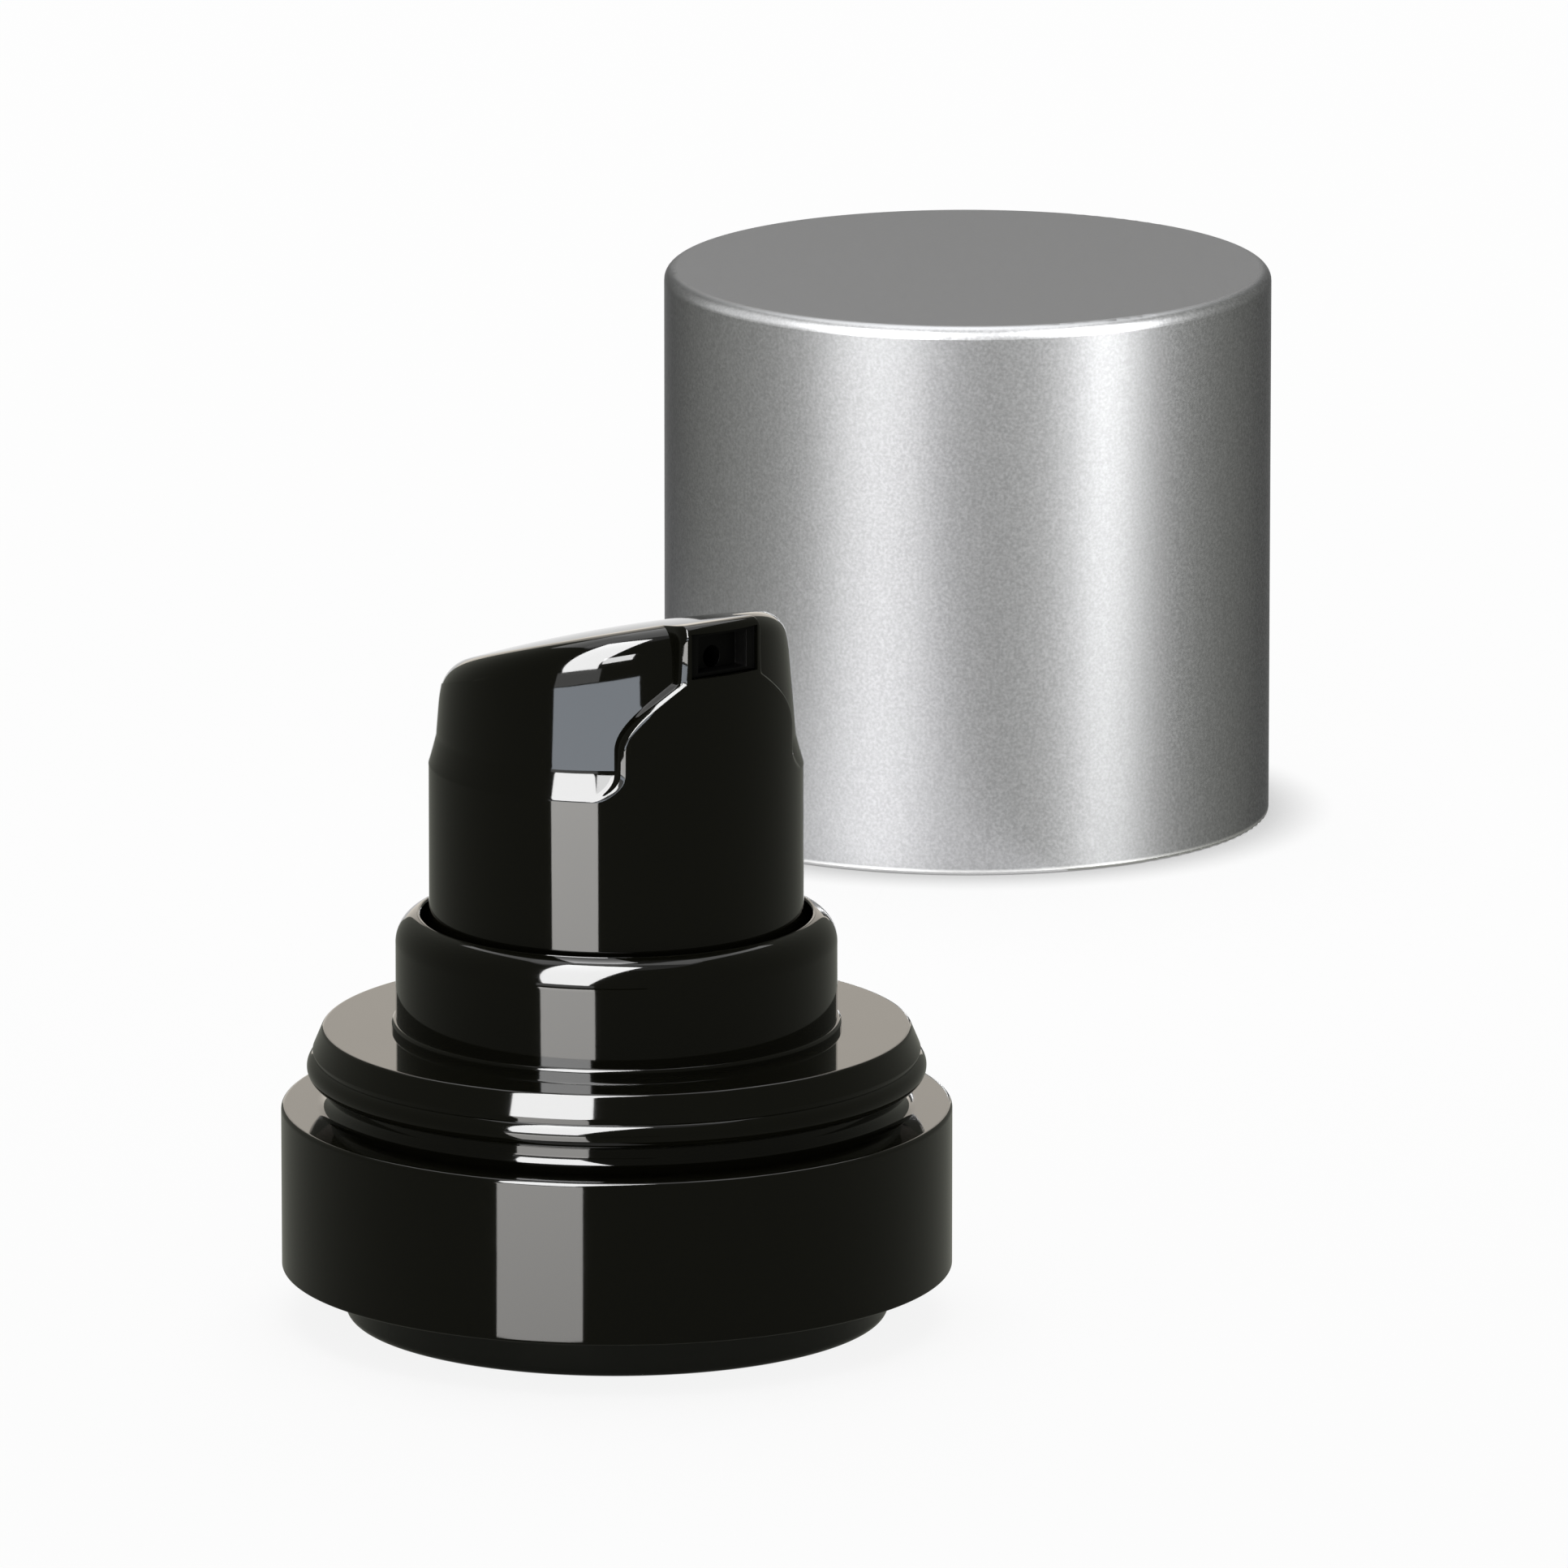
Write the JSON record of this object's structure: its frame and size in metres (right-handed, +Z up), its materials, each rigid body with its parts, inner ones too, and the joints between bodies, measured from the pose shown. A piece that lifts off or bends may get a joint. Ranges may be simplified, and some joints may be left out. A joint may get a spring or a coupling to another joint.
{
  "type": "airless pump head with cap",
  "caption": "Airless cosmetic pump head with slanted button and nozzle in a round collar, and its metal-covered cap set down beside it.",
  "frame": {"origin": "on the pump's axis, at the foot of the bottle plug, which is the surface that the pump stands on", "axes": "+Z up along the pump's axis, -Y the way the nozzle looks, +X to the nozzle's left as one faces it from behind"},
  "size_m": [0.137, 0.134, 0.044],
  "materials": {
    "gloss_black": "high gloss black",
    "plug_black": "gloss black",
    "core_grey": "satin dark grey",
    "natural_plastic": "natural translucent white",
    "piston_plastic": "soft white",
    "gasket_foam": "soft matt white",
    "spring_steel": "bright drawn wire",
    "ball_steel": "polished",
    "anodised_aluminium": "fine blasted satin silver",
    "liner_black": "satin black"
  },
  "bodies": {
    "closure": {"collar": "gloss_black", "guide_sleeve": "gloss_black", "bottle_plug": "plug_black", "bottle_gasket": "gasket_foam", "chamber_gasket": "gasket_foam", "pump_chamber": "natural_plastic", "chamber_cap": "natural_plastic", "ball_retainer": "natural_plastic"},
    "inlet_valve": {"inlet_ball": "ball_steel"},
    "plunger": {"stem": "natural_plastic", "piston_rod": "natural_plastic", "return_spring": "spring_steel"},
    "pump_piston": {"piston": "piston_plastic"},
    "button": {"button_shell": "gloss_black", "button_core": "core_grey", "nozzle_insert": "gloss_black"},
    "cap": {"cap_shell": "anodised_aluminium", "cap_liner": "liner_black"}
  },
  "joints": [
    {"name": "pump_stroke", "type": "slide", "parent": "closure", "child": "plunger", "axis": [0, 0, -1], "range_m": [0, 0.0058], "stiffness_N_per_m": 900, "springref_m": -0.005, "deforming": ["return_spring"]},
    {"name": "button_turn", "type": "hinge", "parent": "plunger", "child": "button", "pos_m": [0, 0, 0.03], "axis": [0, 0, 1], "continuous": true},
    {"name": "piston_lag", "type": "slide", "parent": "plunger", "child": "pump_piston", "axis": [0, 0, 1], "range_m": [0, 0.0007]},
    {"name": "ball_lift", "type": "slide", "parent": "closure", "child": "inlet_valve", "axis": [0, 0, 1], "range_m": [0, 0.0006]},
    {"name": "cap_lift", "type": "slide", "parent": "closure", "child": "cap", "axis": [0, 0, 1], "range_m": [0, 0.05]}
  ]
}
